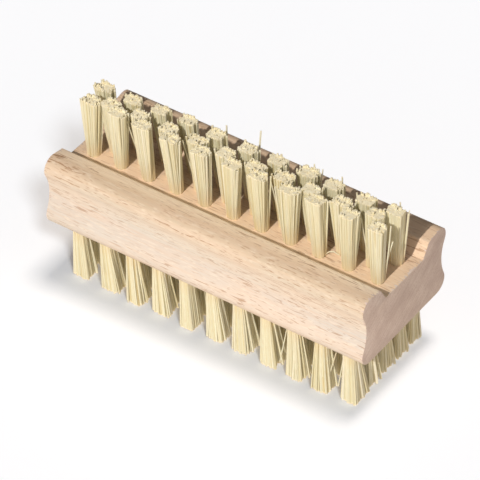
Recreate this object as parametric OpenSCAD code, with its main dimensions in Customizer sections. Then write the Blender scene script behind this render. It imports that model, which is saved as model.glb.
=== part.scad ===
// Double-sided nail brush. A moulded beech block carries tufts of plant fibre in rows of blind
// holes: three staggered rows in the sunk bed on top and five rows under the flat underside.
// Each tuft is folded over a short piece of flat wire, its anchor, which is driven down to the
// bottom of the hole and bites into the wood on both sides.
// X runs along the block, Y across it and Z up. The origin is below the middle of the block, on
// the level of the lower bristle tips, on which the brush stands.

/* [Block] */
// Length of the block
block_l = 95; // [60:1:140]
// Width across the mouldings of its two long sides
block_w = 36.8; // [34:0.2:44]
// Height from the underside to the crests of the two ridges
block_h = 20.7; // [19:0.1:26]
// Depth of the sunk bed below the crests
bed_depth = 4.7; // [3:0.1:6]
// Width of the flat bed between the feet of the two ridges
bed_w = 16.4; // [14:0.1:18]
// Slope of the inner side of each ridge, in degrees
ridge_slope = 58; // [50:1:80]
// Fall of the ridge top towards the bed, in degrees
crest_fall = 11; // [4:1:15]
// Radius of the upper moulding, which runs over the ridge
crest_r = 3.3; // [2.5:0.1:4]
// Radius of the lower moulding, which runs into the underside
foot_r = 3.3; // [2.5:0.1:3.6]
// Depth of the grip groove between the two mouldings
grip_depth = 1.7; // [0.8:0.1:2.4]
// Height of the deepest line of the grip groove above the underside
grip_z = 10.7; // [9:0.1:12]
// Radius that breaks the inner edge of each ridge
rim_r = 0.8; // [0.3:0.1:1.2]

/* [Tuft holes] */
// Diameter of each drilled hole
hole_d = 3.3; // [2.8:0.1:3.8]
// Depth of each drilled hole
hole_depth = 6; // [4.5:0.1:7]
// Distance between neighbouring tufts along an upper row
upper_pitch = 8.5; // [8:0.1:12]
// Distance from the end of the block to the first tuft of an outer upper row
upper_end = 5; // [4:0.1:9]
// Distance between neighbouring tufts along a lower row
lower_pitch = 8.2; // [7:0.1:12]
// Distance from the end of the block to the first tuft of a lower row
lower_end = 6.7; // [4:0.1:9]
// Distance from the widest part of the side to the outermost lower row
lower_side = 4.9; // [4.8:0.1:7]

/* [Bristles] */
// Height of the upper bristles above the bed
upper_h = 17; // [10:0.5:24]
// Height of the lower bristles below the underside
lower_h = 16; // [10:0.5:24]
// Width of a strand at its tip
strand_tip_w = 1.3; // [0.8:0.05:1.5]
// Least gap between the bristles of neighbouring tufts in a row
tuft_gap = 2.7; // [1.5:0.1:3]
// Least gap between the bristles of neighbouring upper rows, whose tufts are staggered
upper_row_clear = 0.6; // [0.2:0.05:1]
// Least gap between the bristles of neighbouring lower rows
lower_row_clear = 1.7; // [0.5:0.1:2.2]
// How far the tips of a tuft may lean away from its hole
sway = 0.35; // [0:0.05:0.4]
// What the level cut takes off the longest strands
trim = 0.5; // [0.2:0.05:0.8]

/* [Anchors] */
// Thickness of the flat anchor wire
anchor_t = 0.35; // [0.2:0.05:0.5]
// Height of the anchor wire
anchor_h = 1.6; // [1:0.1:2]
// How far an anchor bites into the wood on each side of its hole
anchor_bite = 0.35; // [0.2:0.05:0.6]
// Thickness of the fold of fibre under an anchor
fold_h = 0.7; // [0.4:0.05:1]

/* [Hidden] */
wood_color = "#EBD0AF";
fibre_color = "#E6DAA2";
wire_color = "#A6A8A7";
upper_rows = 3;
lower_rows = 5;
outer_strands = 4;
arc_steps = 8;
hole_sides = 24;
root_sides = 8;
strand_share = 0.25;
ring_share = 0.31;
rim_room_share = 0.8;
fit_gap = 0.05;
overrun = 1;
strand_root = 1;
root_d = hole_d - 2 * fit_gap;
strand_w = root_d * strand_share;
ring_r = root_d * ring_share;
anchor_l = hole_d + 2 * anchor_bite;
anchor_z = fold_h + 2 * fit_gap - hole_depth;
bed_z = block_h - bed_depth;
upper_z = lower_h + bed_z;
upper_run = block_l - 2 * upper_end;
lower_run = block_l - 2 * lower_end;
upper_spaces = round(upper_run / upper_pitch);
lower_spaces = round(lower_run / lower_pitch);
upper_step = upper_run / upper_spaces;
lower_step = lower_run / lower_spaces;
upper_row_gap = bed_w / (upper_rows + 1);
lower_row_gap = (block_w - 2 * lower_side) / (lower_rows - 1);
tip_room = strand_tip_w / 2 + sway;
upper_reach = [(upper_step - tuft_gap) / 2 - tip_room, upper_row_gap - upper_row_clear - 2 * tip_room];
lower_reach = [(lower_step - tuft_gap) / 2 - tip_room, (lower_row_gap - lower_row_clear) / 2 - tip_room];
upper_places = [
    for (row = [1:upper_rows])
        row_places(row, upper_rows, upper_row_gap, upper_spaces + row % 2, upper_step, upper_z)
];
lower_places = [
    for (row = [1:lower_rows])
        row_places(row, lower_rows, lower_row_gap, lower_spaces + 1, lower_step, lower_h)
];

// The mouths of the holes in one row, centred on the block. Row 1 is the front row.
function row_places(row, rows, row_gap, count, step, z) = [
    for (i = [0:count - 1])
        [(i - (count - 1) / 2) * step, (row - (rows + 1) / 2) * row_gap, z]
];

// Points of an arc without its first one, so that an arc can follow another.
function arc(c, r, from, to) = [
    for (i = [1:arc_steps])
        let (a = from + (to - from) * i / arc_steps)
        c + r * [cos(a), sin(a)]
];

// Where the line through p along u meets the line through q along v.
function meet(p, u, q, v) = p + u * cross(q - p, v) / cross(u, v);

// Radius of the groove's arc that is upright at the deepest line and runs smoothly into a
// moulding of radius r, whose centre lies dz above or below that line.
function groove_r(r, dz) = (grip_depth ^ 2 + dz ^ 2) / (2 * grip_depth) - r;

// One side of the block's section, from the flat underside up to the edge of the flat bed. On a
// narrow ridge the radius of its inner edge is no longer than the flat ridge top has room for.
function side_outline() =
    let (
        half_w = block_w / 2,
        foot_c = [half_w - foot_r, foot_r],
        foot_dz = grip_z - foot_c.y,
        foot_groove_r = groove_r(foot_r, foot_dz),
        foot_a = asin(foot_dz / (foot_groove_r + foot_r)),
        crest_c = [half_w - crest_r, block_h - crest_r],
        crest_dz = crest_c.y - grip_z,
        crest_groove_r = groove_r(crest_r, crest_dz),
        crest_a = asin(crest_dz / (crest_groove_r + crest_r)),
        groove_y = half_w - grip_depth,
        crest_end = crest_c + crest_r * [-sin(crest_fall), cos(crest_fall)],
        inwards = [-cos(crest_fall), -sin(crest_fall)],
        bed_edge = [bed_w / 2, bed_z],
        rim = meet(bed_edge, [cos(ridge_slope), sin(ridge_slope)], crest_end, inwards),
        rim_tan = tan((ridge_slope - crest_fall) / 2),
        rim_run = min(rim_r * rim_tan, rim_room_share * norm(crest_end - rim)),
        rim_fit_r = rim_run / rim_tan,
        rim_start = rim - rim_run * inwards,
        rim_c = rim_start - rim_fit_r * [-sin(crest_fall), cos(crest_fall)]
    )
    concat(
        [[foot_c.x, 0]],
        arc(foot_c, foot_r, -90, foot_a),
        arc([groove_y + foot_groove_r, grip_z], foot_groove_r, 180 + foot_a, 180),
        arc([groove_y + crest_groove_r, grip_z], crest_groove_r, 180, 180 - crest_a),
        arc(crest_c, crest_r, -crest_a, 90 + crest_fall),
        [rim_start],
        arc(rim_c, rim_fit_r, 90 + crest_fall, 90 + ridge_slope),
        [bed_edge]
    );

// An anchor, or with a gap the room that it takes up, for a hole whose mouth is at the origin.
module anchor(gap) {
    translate([0, 0, anchor_z + anchor_h / 2])
        cube([anchor_t + 2 * gap, anchor_l + 2 * gap, anchor_h + 2 * gap], center = true);
}

// What is cut out of the block for one tuft: the drilled hole and the bite of its anchor.
module hole() {
    translate([0, 0, -hole_depth])
        cylinder(d = hole_d, h = hole_depth + overrun, $fn = hole_sides);
    anchor(fit_gap);
}

// A straight four-sided strand that widens towards its level tip.
module strand(foot, tip, tip_z) {
    corners = [[-1, -1], [1, -1], [1, 1], [-1, 1]];
    polyhedron(
        points = concat(
            [for (c = corners) [foot.x + c.x * strand_w / 2, foot.y + c.y * strand_w / 2, -strand_root]],
            [for (c = corners) [tip.x + c.x * strand_tip_w / 2, tip.y + c.y * strand_tip_w / 2, tip_z]]
        ),
        faces = concat(
            [[0, 1, 2], [0, 2, 3], [6, 5, 4], [7, 6, 4]],
            [for (i = [0:3]) [i, i + 4, (i + 1) % 4 + 4]],
            [for (i = [0:3]) [i, (i + 1) % 4 + 4, (i + 1) % 4]]
        )
    );
}

// A tuft with its root folded under the anchor. The strands stand on the root, which fills the
// hole, and spread to their reach from its axis. They are cut level at h above its mouth, which
// only the shortest ones don't reach.
module tuft(h, reach, seed) {
    lean = rands(-sway, sway, 2, seed);
    shortfalls = rands(-trim, trim, outer_strands + 1, seed);
    difference() {
        translate([0, 0, fit_gap - hole_depth])
            cylinder(d = root_d, h = hole_depth - fit_gap, $fn = root_sides);
        anchor(fit_gap);
    }
    strand([0, 0], lean, h - max(0, shortfalls[0]));
    for (i = [1:outer_strands]) {
        way = [cos(360 * i / outer_strands), sin(360 * i / outer_strands)];
        tip = [way.x * reach.x, way.y * reach.y] + lean;
        strand(ring_r * way, tip, h - max(0, shortfalls[i]));
    }
}

module wood_block() {
    right = side_outline();
    left = [for (i = [len(right) - 1:-1:0]) [-right[i].x, right[i].y]];
    color(wood_color)
        difference() {
            translate([0, 0, lower_h])
                rotate([90, 0, 90])
                    linear_extrude(block_l, center = true)
                        polygon(concat(right, left));
            for (row = upper_places, place = row)
                translate(place)
                    hole();
            for (row = lower_places, place = row)
                translate(place)
                    mirror([0, 0, 1])
                        hole();
        }
}

module upper_tufts(row) {
    places = upper_places[row - 1];
    color(fibre_color)
        for (i = [0:len(places) - 1])
            translate(places[i])
                tuft(upper_h, upper_reach, 100 * row + i);
}

module lower_tufts(row) {
    places = lower_places[row - 1];
    color(fibre_color)
        for (i = [0:len(places) - 1])
            translate(places[i])
                mirror([0, 0, 1])
                    tuft(lower_h, lower_reach, 1000 + 100 * row + i);
}

module upper_anchors(row) {
    color(wire_color)
        for (place = upper_places[row - 1])
            translate(place)
                anchor(0);
}

module lower_anchors(row) {
    color(wire_color)
        for (place = lower_places[row - 1])
            translate(place)
                mirror([0, 0, 1])
                    anchor(0);
}

wood_block();
for (row = [1:upper_rows]) {
    upper_tufts(row);
    upper_anchors(row);
}
for (row = [1:lower_rows]) {
    lower_tufts(row);
    lower_anchors(row);
}
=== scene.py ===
import math
import random

import bmesh
import bpy
from mathutils import Matrix, Vector


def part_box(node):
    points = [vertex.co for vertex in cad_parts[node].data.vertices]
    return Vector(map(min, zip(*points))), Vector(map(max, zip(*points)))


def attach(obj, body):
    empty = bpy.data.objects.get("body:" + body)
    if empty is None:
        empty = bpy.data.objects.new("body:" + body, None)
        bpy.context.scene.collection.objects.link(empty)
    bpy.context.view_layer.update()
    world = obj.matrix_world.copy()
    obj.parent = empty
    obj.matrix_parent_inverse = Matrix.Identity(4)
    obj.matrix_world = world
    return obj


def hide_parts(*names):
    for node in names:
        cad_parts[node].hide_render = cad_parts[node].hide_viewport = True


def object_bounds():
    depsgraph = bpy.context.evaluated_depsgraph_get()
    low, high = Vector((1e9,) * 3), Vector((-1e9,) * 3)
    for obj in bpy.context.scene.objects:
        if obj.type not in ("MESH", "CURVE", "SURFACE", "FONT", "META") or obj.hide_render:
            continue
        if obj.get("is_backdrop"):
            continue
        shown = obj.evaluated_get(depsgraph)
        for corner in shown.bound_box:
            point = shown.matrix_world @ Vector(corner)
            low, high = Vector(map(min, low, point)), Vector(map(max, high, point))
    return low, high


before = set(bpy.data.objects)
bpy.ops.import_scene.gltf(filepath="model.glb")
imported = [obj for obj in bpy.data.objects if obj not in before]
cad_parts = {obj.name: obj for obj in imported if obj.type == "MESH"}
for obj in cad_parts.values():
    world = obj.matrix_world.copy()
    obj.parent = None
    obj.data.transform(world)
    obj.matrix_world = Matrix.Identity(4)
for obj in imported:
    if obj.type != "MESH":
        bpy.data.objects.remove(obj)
cad_low, cad_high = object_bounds()


# Block
# One piece of beech, run through a moulder lengthwise, sawn off square at both ends and drilled.
# The wood is raw: it has no varnish or oil, only the finish of the cutters and a light sanding.

MM = 0.001
block_low, block_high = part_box("wood_block")
block_mid = (block_low + block_high) / 2
end_x = block_high.x
end_break = 0.14 * MM
weld = 0.001 * MM
touch = 0.01 * MM
square_on, edge_on = 0.999, 0.01
level = 0.001
crease = math.radians(28)
ray_tilt = math.radians(34)
wave_run = 16 * MM
wave_reach = 1.2 * MM
grain_depth = 0.06 * MM


def linear(hex_colour):
    """An sRGB colour such as F3DFC8 as the linear values that a shader takes."""
    channels = [int(hex_colour[i:i + 2], 16) / 255 for i in (0, 2, 4)]
    return [c / 12.92 if c <= 0.04045 else ((c + 0.055) / 1.055) ** 2.4 for c in channels] + [1.0]


def node(tree, kind, settings, *values, **named):
    """Adds one shader node with its settings. Its inputs are values, or nodes and sockets to link,
    in the order of the sockets in use or by their names. A node gives its first output."""
    made = tree.nodes.new("ShaderNode" + kind)
    for name, value in settings.items():
        setattr(made, name, value)
    filled = list(zip([socket for socket in made.inputs if socket.enabled], values))
    filled += [(made.inputs[name.replace("_", " ")], value) for name, value in named.items()]
    for socket, value in filled:
        if isinstance(value, bpy.types.Node):
            value = next(output for output in value.outputs if output.enabled)
        if isinstance(value, bpy.types.NodeSocket):
            tree.links.new(value, socket)
        else:
            socket.default_value = value
    return made


def repeats(size):
    """How often a pattern with that size in millimetres repeats in a metre, each way."""
    return [1 / (side * MM) for side in size]


def new_material(name):
    material = bpy.data.materials.new(name)
    material.use_nodes = True
    material.node_tree.nodes.clear()
    return material, material.node_tree


def fill_ramp(ramp, colours):
    """Gives a colour ramp its stops: pairs of a place from 0 to 1 and an sRGB colour, in order."""
    stops = ramp.color_ramp.elements
    stops[0].color = linear(colours[0][1])
    stops[1].color = linear(colours[-1][1])
    for position, colour in colours[1:-1]:
        stops.new(position).color = linear(colour)


# Beech has a close, even ground and is known by its rays: sheets of cells that run out from the
# heart, seen as short brown dashes on a long face and as fine streaks over the sawn ends.
beech, tree = new_material("raw_moulded_beech")
in_colour = {"data_type": "RGBA"}
place = node(tree, "TexCoord", {}).outputs["Object"]
x_place = node(tree, "SeparateXYZ", {}, place).outputs["X"]
centred = node(tree, "Mapping", {}, place, -block_mid)
log = node(tree, "Mapping", {}, centred, Rotation=(-ray_tilt, 0, 0))
wave = node(tree, "TexNoise", {}, Vector=log, Scale=1 / wave_run, Detail=2.2).outputs["Color"]
shift = node(tree, "VectorMath", {"operation": "SUBTRACT"}, wave, (0.5, 0.5, 0.5))
shift = node(tree, "VectorMath", {"operation": "MULTIPLY"}, shift, (0, 0, wave_reach))
wavy = node(tree, "VectorMath", {"operation": "ADD"}, log, shift)
out_place = node(tree, "SeparateXYZ", {}, wavy).outputs["Y"]

# The wood's patterns, with their size in millimetres along the grain, out from the heart and
# around it. The marks and the torn edge follow its waves.
patterns = {}
for name, size, detail, laid in (
        ("long marks", (4.4, 0.5, 0.36), 1.0, wavy),
        ("short marks", (2.2, 0.4, 0.3), 1.0, wavy),
        ("pale flecks", (2.6, 0.7, 0.5), 1.0, wavy),
        ("grain", (9, 0.5, 0.5), 3.0, wavy),
        ("patches", (34, 5, 5), 2.0, log),
        ("marked zones", (30, 3, 3), 1.0, wavy),
        ("end rays", (60, 7, 0.5), 2.0, log),
        ("end pores", (0.5, 0.5, 0.35), 2.0, log),
        ("torn edge", (2.2, 0.7, 0.42), 1.0, wavy)):
    scaled = node(tree, "VectorMath", {"operation": "MULTIPLY"}, laid, repeats(size))
    patterns[name] = node(tree, "TexNoise", {}, Vector=scaled, Scale=1.0, Detail=detail)

# The colour goes with the distance out from the heart in millimetres, year by year, and is partly
# painted light.
# The front, nearest the bark, is palest, a painted highlight of its full light. The top of the front
# ridge is lighter, a painted highlight against the shade of its rounded crest, and where the ridge
# rounds over to the front it is darker, painted shade. The hollow of the front face below is lighter
# again, painted light against its shade.
bark_side, heart_side = -20, 17
year_and_painted_light_colours = (
    (bark_side, "DFD7CF"), (-17, "DBD2CB"), (-14.5, "D9D2CD"), (-13.3, "DFD8D0"), (-12.1, "EEE4D9"),
    (-11.5, "E4D8CA"), (-11, "DACBB9"), (-10.4, "DCCBB9"), (-9.8, "DCC9B3"), (-9.2, "D4C0A8"),
    (-7.6, "D8C1A8"), (-6.6, "EBD1B6"), (-5.4, "FFE9D1"), (-3.6, "FFEDD7"), (-2, "F3D8BC"),
    (8, "F0D4B8"), (12, "DEC4A8"), (heart_side, "E3C8AB"))
bark_to_heart_share = node(tree, "MapRange", {}, out_place, bark_side * MM, heart_side * MM)
long_face = node(tree, "ValToRGB", {}, bark_to_heart_share)
log_depth = heart_side - bark_side
fill_ramp(long_face, [((out - bark_side) / log_depth, colour) for out, colour in year_and_painted_light_colours])
for name, low, high, most, colour in (
        ("patches", 0.38, 0.62, 0.3, "F6D9C2"),
        ("grain", 0.42, 0.68, 0.26, "DDBB9C"),
        ("pale flecks", 0.55, 0.68, 0.22, "FFF3E4")):
    share = node(tree, "MapRange", {}, patterns[name], low, high, 0.0, most)
    long_face = node(tree, "Mix", in_colour, share, long_face, linear(colour))

# The rays lie in zones. They crowd in one late layer, on the ridge at the left and to the right.
zones = node(tree, "MapRange", {}, patterns["marked zones"], 0.38, 0.6, 0.28, 1.0)
from_layer = node(tree, "Math", {"operation": "ADD"}, out_place, 10.9 * MM)
from_layer = node(tree, "Math", {"operation": "ABSOLUTE"}, from_layer)
crowded = node(tree, "MapRange", {}, from_layer, 0.3 * MM, 0.9 * MM, 1.4, 0.0)
zones = node(tree, "Math", {"operation": "MAXIMUM"}, zones, crowded)
rightwards = node(tree, "MapRange", {}, x_place, -15 * MM, 30 * MM, 0.0, 0.25)
zones = node(tree, "Math", {"operation": "ADD"}, zones, rightwards)
from_ridge = node(tree, "Math", {"operation": "ADD"}, out_place, 7.5 * MM)
from_ridge = node(tree, "Math", {"operation": "ABSOLUTE"}, from_ridge)
on_ridge = node(tree, "MapRange", {}, from_ridge, 1.2 * MM, 2.6 * MM, 1.0, 0.0)
at_left = node(tree, "MapRange", {}, x_place, -44 * MM, -22 * MM, 0.9, 0.0)
left_ridge = node(tree, "Math", {"operation": "MULTIPLY"}, at_left, on_ridge)
zones = node(tree, "Math", {"operation": "ADD"}, zones, left_ridge)
long_marks = node(tree, "MapRange", {}, patterns["long marks"], 0.62, 0.69)
short_marks = node(tree, "MapRange", {}, patterns["short marks"], 0.63, 0.71, 0.0, 0.9)
marks = node(tree, "Math", {"operation": "MAXIMUM"}, short_marks, long_marks)
mark_share = node(tree, "Math", {"operation": "MULTIPLY"}, marks, zones)
mark_share = node(tree, "Math", {"operation": "MULTIPLY"}, mark_share, 0.58)
long_face = node(tree, "Mix", in_colour, mark_share, long_face, linear("AC8362"))

# Over the sawn ends the same rays run from edge to edge, and the open pores make the wood darker.
end_face = linear("EFDFD8")
for name, low, high, most, colour in (
        ("end rays", 0.32, 0.68, 1.0, "DFCBC2"),
        ("patches", 0.35, 0.65, 0.5, "C8B0A8"),
        ("end pores", 0.5, 0.7, 0.35, "B6978A")):
    share = node(tree, "MapRange", {}, patterns[name], low, high, 0.0, most)
    end_face = node(tree, "Mix", in_colour, share, end_face, linear(colour))

# The saw tears a few fibres out along the edge, so the line between the faces isn't quite straight.
from_middle = node(tree, "Math", {"operation": "ABSOLUTE"}, x_place)
torn = node(tree, "MapRange", {}, patterns["torn edge"], 0.5, 0.75, 0.02, 1.1)
reached = node(tree, "Math", {"operation": "MULTIPLY_ADD"}, torn, MM, from_middle)
on_end = node(tree, "Math", {"operation": "GREATER_THAN"}, reached, end_x)
beech_colour = node(tree, "Mix", in_colour, on_end, long_face, end_face)

raised = node(tree, "Math", {"operation": "MULTIPLY"}, patterns["grain"], 0.4)
raised = node(tree, "Math", {"operation": "SUBTRACT"}, raised, marks)
moulded = node(tree, "Bump", {}, Strength=0.4, Distance=grain_depth, Height=raised)
surface = node(tree, "BsdfPrincipled", {}, Base_Color=beech_colour, Roughness=0.62, IOR=1.5,
               Normal=moulded)
node(tree, "OutputMaterial", {}, Surface=surface)

block_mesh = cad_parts["wood_block"].data.copy()
for name in ("custom_normal", "sharp_edge"):
    if name in block_mesh.attributes:
        block_mesh.attributes.remove(block_mesh.attributes[name])
block = bpy.data.objects.new("beech_block", block_mesh)
bpy.context.scene.collection.objects.link(block)


def at_end(vert):
    return abs(vert.co.x) > end_x - touch


def faces_along(face):
    return abs(face.normal.x) > square_on


def side_triangle(face):
    along_side = abs(face.normal.x) < edge_on and abs(face.normal.z) < square_on
    return len(face.verts) == 3 and along_side


# The CAD mesh comes in triangles. Those of the ends, and the long ones of the sides, are joined
# first, so that the bevel finds one clean line round each end.
bm = bmesh.new()
bm.from_mesh(block_mesh)
bmesh.ops.remove_doubles(bm, verts=bm.verts, dist=weld)
for side in (-1, 1):
    end_triangles = [f for f in bm.faces if faces_along(f) and f.normal.x * side > 0
                     and all(at_end(v) for v in f.verts)]
    bmesh.ops.dissolve_faces(bm, faces=end_triangles, use_verts=False)
diagonals = [e for e in bm.edges if len(e.link_faces) == 2
             and all(side_triangle(f) for f in e.link_faces)
             and all(at_end(v) for v in e.verts) and e.calc_face_angle() < level]
bmesh.ops.dissolve_edges(bm, edges=diagonals, use_verts=False)
rim = [e for e in bm.edges if len(e.link_faces) == 2 and at_end(e.verts[0])
       and sorted(faces_along(f) for f in e.link_faces) == [False, True]]
bmesh.ops.bevel(bm, geom=rim, offset=end_break, segments=2, profile=0.5, affect="EDGES", material=-1)
bm.to_mesh(block_mesh)
bm.free()
block_mesh.materials.clear()
block_mesh.materials.append(beech)
block_mesh.shade_smooth()
block_mesh.set_sharp_from_angle(angle=crease)
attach(block, "root")
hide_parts("wood_block")


# Anchors
# Short pieces of flat steel wire, cut off and driven across each hole by the tufting machine, on
# the fold of the fibre. They stay the CAD's own solids: only their finish is made here.

# Bright steel, drawn through a die, which leaves fine lines along the wire.
wire, tree = new_material("drawn_flat_steel_wire")
place = node(tree, "TexCoord", {}).outputs["Object"]
lines = node(tree, "VectorMath", {"operation": "MULTIPLY"}, place, repeats((0.05, 2, 0.05)))
drawn = node(tree, "TexNoise", {}, Vector=lines, Scale=1.0, Detail=2.0)
wire_colour = node(tree, "Mix", in_colour, drawn, linear("8E9090"), linear("B9BBBA"))
scored = node(tree, "Bump", {}, Strength=0.2, Distance=0.01 * MM, Height=drawn)
surface = node(tree, "BsdfPrincipled", {}, Base_Color=wire_colour, Metallic=1.0, Roughness=0.35,
               Normal=scored)
node(tree, "OutputMaterial", {}, Surface=surface)
anchors = [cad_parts[name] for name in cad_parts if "anchors" in name]
for row in anchors:
    row.data.materials.clear()
    row.data.materials.append(wire)


# Bristles
# Pale plant fibre, about half a millimetre thick and a little flat, cut to length and folded over
# its anchor, so that each bundle fills its round hole and fans out along the row.

# The holes and heights are the CAD's.
wire_t = 0.35 * MM
hole_r = 1.65 * MM
upper_h = 17 * MM
lower_h = 16 * MM
upper_pitch = 8.5 * MM
lower_pitch = 8.2 * MM

# One fibre: its width and that of a stray, how deep its root stands in the hole, how far it keeps
# off the hole's wall, and in millimetres how far it bows.
fibre_w = (0.42 * MM, 0.58 * MM)
stray_w = (0.32 * MM, 0.42 * MM)
fibre_root = 1.5 * MM
hole_gap = 0.2 * MM
fibre_bow = 0.05
fibre_crease = math.radians(50)
fibre_tone = (0.55, 0.2)
tuft_tone_reach = 0.08

# One bundle: root_spread and proud_height are in millimetres, clump_reach, jitter, outside and splay
# in halves of the bundle's width and depth. The proud values are the shares of fibres that stand
# above the cut, at the rear of a bundle and elsewhere.
root_spread = (1.5, 1.3)
clump_counts = (3, 4, 5, 6)
clump_reach = (0.9, 0.8)
clump_pull = 0.12
jitter = (0.04, 0.05)
outside = 0.6
splay = (1.1, 1.6)
rear_proud, proud = 0.45, 0.03
proud_height = (0.1, 0.8)

# Dried fibre is straw-coloured with a dull sheen. It is browner near the wood, partly its own tone
# and partly painted warm light that the beech gives back into the roots. It is pale at the cut ends,
# partly where the pith shows and partly a painted highlight that lifts the tops out of the shade of
# their uneven fibres. Shade is a fibre's own tone, and along runs from its root to its tip.
fibre, tree = new_material("dried_plant_fibre")
place = node(tree, "TexCoord", {}).outputs["Object"]
shade = node(tree, "Attribute", {"attribute_name": "shade"}).outputs["Fac"]
along = node(tree, "Attribute", {"attribute_name": "along"}).outputs["Fac"]
lines = node(tree, "VectorMath", {"operation": "MULTIPLY"}, place, repeats((0.16, 0.16, 5)))
streaks = node(tree, "TexNoise", {}, Vector=lines, Scale=1.0, Detail=2.0)
fibre_colour = node(tree, "ValToRGB", {}, shade)
fill_ramp(fibre_colour, ((0, "D1C297"), (0.15, "DFD8B3"), (0.5, "E6E3C9"), (0.85, "EDECD7"),
                         (1, "F3F1E0")))
streak_share = node(tree, "MapRange", {}, streaks, 0.4, 0.75, 0.0, 0.35)
fibre_colour = node(tree, "Mix", in_colour, streak_share, fibre_colour, linear("D9BC84"))
# Browner towards the root: partly the fibre's own tone, partly painted warm light given back by the
# beech.
root_share = node(tree, "MapRange", {}, along, 0.08, 0.42, 0.32, 0.0)
fibre_colour = node(tree, "Mix", in_colour, root_share, fibre_colour, linear("E2BC86"))
# Paler cut ends: partly the pith, partly a painted highlight on the tops against their shade.
cut_share = node(tree, "MapRange", {}, along, 0.975, 1.0, 0.0, 0.9)
cut_colour = node(tree, "Mix", in_colour, shade, linear("FCEECB"), linear("FFF9E3"))
fibre_colour = node(tree, "Mix", in_colour, cut_share, fibre_colour, cut_colour)
ribbed = node(tree, "Bump", {}, Strength=0.3, Distance=0.03 * MM, Height=streaks)
surface = node(tree, "BsdfPrincipled", {}, Base_Color=fibre_colour, Roughness=0.5, IOR=1.45,
               Normal=ribbed)
node(tree, "OutputMaterial", {}, Surface=surface)

# One fibre of unit length and radius, which every fibre is made from.
unit_fibre = bpy.data.meshes.new("unit_fibre")
bm = bmesh.new()
bmesh.ops.create_cone(bm, cap_ends=True, segments=5, radius1=1, radius2=1, depth=1)
bmesh.ops.translate(bm, verts=bm.verts, vec=(0, 0, 0.5))
upright = [e for e in bm.edges if abs(e.verts[0].co.z - e.verts[1].co.z) > 0.5]
bmesh.ops.subdivide_edges(bm, edges=upright, cuts=2)
bm.verts.layers.float.new("shade")
along_layer = bm.verts.layers.float.new("along")
for vert in bm.verts:
    vert[along_layer] = vert.co.z
bm.to_mesh(unit_fibre)
bm.free()


def add_fibre(bm, root, tip, bow, width, roll, tone):
    """Adds one fibre from root to tip, bowed sideways at its middle by the vector bow."""
    flatness = 0.78
    flare = 0.22
    start = len(bm.verts)
    bm.from_mesh(unit_fibre)
    bm.verts.ensure_lookup_table()
    shades = bm.verts.layers.float["shade"]
    facing = (tip - root).to_track_quat("Z", "Y").to_matrix() @ Matrix.Rotation(roll, 3, "Z")
    for vert in bm.verts[start:]:
        t = vert.co.z
        across = Vector((vert.co.x, vert.co.y * flatness, 0)) * width / 2 * (1 + flare * t)
        vert.co = root.lerp(tip, t) + bow * (4 * t * (1 - t)) + facing @ across
        vert[shades] = tone


def add_tuft(bm, mouth, height, lean, shape, dice):
    """Adds one bundle. Its fibres fill the hole at the mouth and fan out, in a few clumps, to a
    blunt oblong at the cut. The shape gives how far they reach along and across the row, the
    share that stands off to the left and to the right, how far the corners of the cut are drawn
    in, and how rounded and how ragged the cut is. A negative height makes it hang."""
    up = 1 if height > 0 else -1
    reach = Vector((dice.uniform(*shape["along"]), dice.uniform(*shape["across"]))) * MM
    clumps = [Vector([dice.uniform(-most, most) for most in clump_reach])
              for _ in range(dice.choice(clump_counts))]
    tuft_tone = dice.uniform(-tuft_tone_reach, tuft_tone_reach)
    columns, ranks = shape["fibres"]
    for i in range(columns * ranks):
        column, rank = i % columns, i // columns
        stagger = 0.25 + column % 2 / 2
        spot = Vector(((column + 0.5) / columns * 2 - 1, (rank + stagger) / ranks * 2 - 1))
        spot += Vector([dice.gauss(0, spread) for spread in jitter])
        spot *= 1 - shape["corner"] * abs(spot.x * spot.y)
        root = Vector((spot.x * root_spread[0], spot.y * root_spread[1])) * MM
        root *= min(1, (hole_r - hole_gap) / root.length)
        clump = min(clumps, key=lambda c: (c - spot).length)
        spot = spot.lerp(clump, clump_pull)
        if abs(spot.x) > outside and dice.random() < shape["loose"][spot.x > 0]:
            spot.x *= dice.uniform(*splay)
        tip = Vector((spot.x * reach.x, spot.y * reach.y)) + lean
        end = abs(height) - abs(dice.gauss(0, shape["ragged"] * MM))
        end -= shape["dome"] * MM * spot.x ** 2
        if up > 0 and dice.random() < (rear_proud if spot.y > outside else proud):
            end += dice.uniform(*proud_height) * MM
        add_fibre(
            bm,
            root=mouth + Vector((root.x, root.y, -up * fibre_root)),
            tip=mouth + Vector((tip.x, tip.y, up * end)),
            bow=Vector((dice.gauss(0, fibre_bow), dice.gauss(0, fibre_bow), 0)) * MM,
            width=dice.uniform(*fibre_w),
            roll=dice.uniform(0, math.tau),
            tone=min(1, max(0, dice.gauss(*fibre_tone) + tuft_tone)),
        )


def tuft_places(anchor_row, pitch, z):
    """The mouths of a row's holes, read from where the row's anchors lie in the frame."""
    low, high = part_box(anchor_row)
    first = low.x + wire_t / 2
    run = high.x - low.x - wire_t
    count = round(run / pitch) + 1
    return [Vector((first + run * i / (count - 1), (low.y + high.y) / 2, z)) for i in range(count)]


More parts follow.
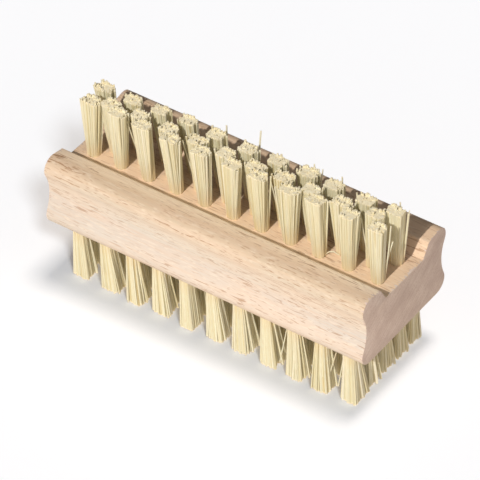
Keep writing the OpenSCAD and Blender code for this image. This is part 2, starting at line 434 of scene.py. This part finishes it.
def tuft_row(name, node_name, places, height, leans, shapes, strays, seed):
    """One row of bundles, each leaning by its own offset at the tip. A stray is a single fibre: its
    tuft, root, tip and bow, in millimetres from the tuft's mouth."""
    dice = random.Random(seed)
    bm = bmesh.new()
    for mouth, lean, shape in zip(places, leans, shapes):
        add_tuft(bm, mouth, height, Vector(lean) * MM, shape, dice)
    for tuft, root, tip, bow in strays:
        ends = [places[tuft] + Vector(point) * MM for point in (root, tip)]
        add_fibre(bm, *ends, bow=Vector(bow) * MM, width=dice.uniform(*stray_w), roll=0, tone=0.9)
    mesh = bpy.data.meshes.new(name)
    bmesh.ops.recalc_face_normals(bm, faces=bm.faces)
    bm.to_mesh(mesh)
    bm.free()
    row = bpy.data.objects.new(name, mesh)
    bpy.context.scene.collection.objects.link(row)
    mesh.materials.append(fibre)
    mesh.shade_smooth()
    mesh.set_sharp_from_angle(angle=fibre_crease)
    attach(row, "root")
    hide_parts(node_name)
    return row


upper_z = cad_high.z - upper_h
lower_z = cad_low.z + lower_h
upper_shape = {
    "fibres": (14, 12), "along": (1.95, 2.3), "across": (1.55, 1.85),
    "loose": (0.16, 0.26), "corner": 0.06, "dome": 0.0, "ragged": 0.1}
lower_shape = {
    "fibres": (15, 12), "along": (2.3, 2.6), "across": (2.3, 2.7),
    "loose": (0.02, 0.12), "corner": 0.0, "dome": 0.4, "ragged": 0.3}
lower_end_shape = {
    "fibres": (14, 14), "along": (2.3, 2.4), "across": (3.4, 3.5),
    "loose": (0.02, 0.0), "corner": 0.0, "dome": 0.2, "ragged": 0.3}
upper_leans = {
    1: [(-0.4, 0.0), (-0.8, -0.1), (-1.4, -0.6), (-1.3, -0.9), (-0.8, -0.6), (0.0, -0.5),
        (-0.9, -0.4), (-0.4, -0.5), (-1.3, 0.0), (-0.1, 0.0), (-0.5, -0.2)],
    2: [(0.2, -2.4), (0.3, -1.9), (0.4, -2.0), (0.6, -2.0), (0.5, -2.0), (0.8, -1.8),
        (0.5, -1.4), (0.0, -1.5), (0.4, -1.2), (0.9, -0.2)],
    3: [(-0.7, -2.0), (-0.5, -2.2), (-1.0, -1.6), (-1.4, -0.9), (-1.3, -1.5), (-0.2, -1.5),
        (-0.1, -1.1), (-0.1, -0.7), (-0.9, -1.1), (0.3, -1.4), (-0.1, -0.7)],
}
upper_strays = {
    1: [(10, (1.2, 0.4, -1), (2.3, 2.6, 11.6), (-0.4, 0.2, 0)),
        (10, (1.2, 0.8, -1), (2.0, 2.1, 16.8), (0.1, 0.1, 0)),
        (9, (1.2, 0.4, -1), (2.0, 1.9, 15.4), (0.2, 0.1, 0)),
        (8, (1.3, 0.2, 0.2), (4.3, 2.2, 0.2), (-0.4, 0.3, 0.8))],
    2: [(1, (-1.2, 0.2, -1), (-2.6, -3.9, 15.6), (0, 0, 0)),
        (3, (-1.2, 0.2, -1), (-3.4, -2.7, 15.6), (0, 0, 0)),
        (6, (-1.2, 0.2, -1), (-2.2, -3.2, 15.2), (0, 0, 0)),
        (9, (-1.2, 0.2, -1), (-2.6, -1.6, 15.4), (0, 0, 0))],
    3: [(4, (0.2, 1.0, -1), (-0.4, 1.8, 17.8), (0, 0.2, 0)),
        (5, (0.8, 1.1, -1), (-1.4, 5.8, 16.8), (0, -0.4, 0)),
        (7, (0.2, 1.0, -1), (0.2, 1.7, 17.8), (0, 0.2, 0)),
        (7, (1.2, 0.6, -1), (2.9, 1.4, 17.6), (0, 0.2, 0)),
        (8, (0.3, 1.0, -1), (-0.2, 1.7, 17.6), (0, 0.2, 0)),
        (10, (0.3, 1.0, -1), (-0.4, 1.6, 17.7), (0, 0.2, 0)),
        (10, (1.3, 0.6, -1), (2.5, 1.3, 16.6), (-0.1, 0, 0))],
}
lower_leans = [(1.1, 0.4), (2.1, 0.1), (1.9, -0.1), (1.5, 0.3), (1.6, -0.4), (2.0, -0.2),
               (1.4, -0.1), (1.7, -0.5), (1.5, -0.4), (1.2, -0.6)]
lower_end_leans = [(1.0, 0.9), (0.3, 0.3), (0.3, -0.3), (0.4, -0.5), (0.1, -0.7)]
lower_strays = {
    1: [(5, (1.3, -0.3, 1), (4.6, -1.0, -14.5), (0, 0, 0)),
        (8, (0.9, -0.9, 1), (1.6, -3.2, -15.8), (0, 0, 0)),
        (8, (-1.1, -0.9, 1), (-4.0, -0.5, -14.6), (0, 0, 0)),
        (9, (3.9, 0.3, -4), (1.9, -1.6, -15.6), (0, 0, 0)),
        (10, (-1.0, -0.4, 1), (-2.9, -0.6, -13.6), (0, 0, 0))],
    5: [(10, (1.4, 0.2, 1), (3.6, -0.4, -14.4), (0, 0, 0))],
}
tuft_rows = []
for number in (1, 2, 3):
    places = tuft_places(f"upper_anchors_{number}", upper_pitch, upper_z)
    tuft_rows.append(tuft_row(
        f"upper_bristles_{number}", f"upper_tufts_{number}", places, upper_h, upper_leans[number],
        [upper_shape] * len(places), upper_strays[number], seed=10 + number))
for number in (1, 2, 3, 4, 5):
    places = tuft_places(f"lower_anchors_{number}", lower_pitch, lower_z)
    leans = lower_leans[number - 1:] + lower_leans[:number - 1] + [lower_end_leans[number - 1]]
    shapes = [lower_shape] * (len(places) - 1) + [lower_end_shape if number == 1 else lower_shape]
    tuft_rows.append(tuft_row(
        f"lower_bristles_{number}", f"lower_tufts_{number}", places, -lower_h, leans,
        shapes, lower_strays.get(number, []), seed=30 + number))


# Studio
# A white table and soft white light. The main lamp stands in front, as in the photo, and lights
# only the brush: the table's soft shadows come from two wide lamps, overhead and to the right.

table_reach = 3
table_gap = 0.02 * MM
room_white = 0.985
room_dim, room_bright = 0.04, 0.5
bright_side = Vector((0.65, -0.75, 0.28)).normalized()
key_height = math.radians(40.7)

# Matt white paper. The camera sees it lit and a little lifted, and the brush gets an even, warm
# light back from it.
paper, tree = new_material("white_paper")
ray = node(tree, "LightPath", {}).outputs
in_view = node(tree, "Math", {"operation": "MAXIMUM"}, ray["Is Camera Ray"], ray["Is Glossy Ray"])
in_view = node(tree, "Math", {"operation": "MAXIMUM"}, in_view, ray["Is Transmission Ray"])
matt = node(tree, "BsdfDiffuse", {}, Color=linear("F2F2F2"))
lift = node(tree, "Emission", {}, Color=linear("CFE4FF"), Strength=0.12)
shown = node(tree, "AddShader", {}, matt, lift)
given_back = node(tree, "Emission", {}, Color=linear("FFEAD0"), Strength=0.8)
node(tree, "OutputMaterial", {}, Surface=node(tree, "MixShader", {}, in_view, given_back, shown))
paper.cycles.emission_sampling = "NONE"

table_mesh = bpy.data.meshes.new("table")
bm = bmesh.new()
bmesh.ops.create_grid(bm, x_segments=1, y_segments=1, size=table_reach)
bmesh.ops.translate(bm, verts=bm.verts, vec=(0, 0, cad_low.z - table_gap))
bm.to_mesh(table_mesh)
bm.free()
table_mesh.materials.append(paper)
table = bpy.data.objects.new("table", table_mesh)
bpy.context.scene.collection.objects.link(table)
table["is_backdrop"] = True

# The room is white to the eye, and lights the brush dimly, most from the front right.
room = bpy.data.worlds.new("soft_room")
bpy.context.scene.world = room
room.use_nodes = True
tree = room.node_tree
tree.nodes.clear()
toward = node(tree, "TexCoord", {}).outputs["Generated"]
facing = node(tree, "VectorMath", {"operation": "DOT_PRODUCT"}, toward, bright_side)
room_light = node(tree, "MapRange", {}, facing, -0.1, 1.0, room_dim, room_bright)
ray = node(tree, "LightPath", {}).outputs
seen, through = ray["Is Camera Ray"], ray["Is Transmission Ray"]
in_view = node(tree, "Math", {"operation": "MAXIMUM"}, seen, through)
lack = node(tree, "Math", {"operation": "SUBTRACT"}, room_white, room_light)
strength = node(tree, "Math", {"operation": "MULTIPLY_ADD"}, in_view, lack, room_light)
sky = node(tree, "Background", {}, Color=linear("FFF8F2"), Strength=strength)
node(tree, "OutputWorld", {}, Surface=sky)


def add_lamp(name, strength, width, way, colour, pieces):
    """A distant lamp, shining along way, that lights only these pieces. Its light falls with the
    given share of a full white on a face turned straight to it. Its width is in degrees."""
    lamp = bpy.data.lights.new(name, "SUN")
    lamp.energy = strength * math.pi
    lamp.angle = math.radians(width)
    lamp.color = linear(colour)[:3]
    made = bpy.data.objects.new(name, lamp)
    bpy.context.scene.collection.objects.link(made)
    made.rotation_euler = Vector(way).to_track_quat("-Z", "Y").to_euler()
    lit = bpy.data.collections.new("lit_by_" + name)
    for piece in pieces:
        lit.objects.link(piece)
    made.light_linking.receiver_collection = lit


key_way = (-0.03, math.cos(key_height), -math.sin(key_height))
add_lamp("key_lamp", 0.85, 1.5, key_way, "FFF9EE", [block, *tuft_rows, *anchors])
add_lamp("table_lamp", 0.55, 15, (-0.06, -0.13, -1), "FFF8F1", [table])
add_lamp("right_lamp", 0.43, 9, (-0.7, 0.65, -1), "EEF6FF", [table])

# The camera stands where the photo's did, worked out from the block's edges.
camera_data = bpy.data.cameras.new("camera")
camera_data.lens = 317.8
camera = bpy.data.objects.new("camera", camera_data)
bpy.context.scene.collection.objects.link(camera)
azimuth, elevation, roll = math.radians(35.15), math.radians(41.27), math.radians(-0.656)
turn = Matrix.Rotation(azimuth, 3, "Z")
tilt = Matrix.Rotation(math.pi / 2 - elevation, 3, "X")
camera.location = (0.454544, -0.647109, 0.715045)
camera.rotation_euler = (turn @ tilt @ Matrix.Rotation(roll, 3, "Z")).to_euler()
bpy.context.scene.camera = camera
bpy.context.scene.view_settings.view_transform = "Standard"

low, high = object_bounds()
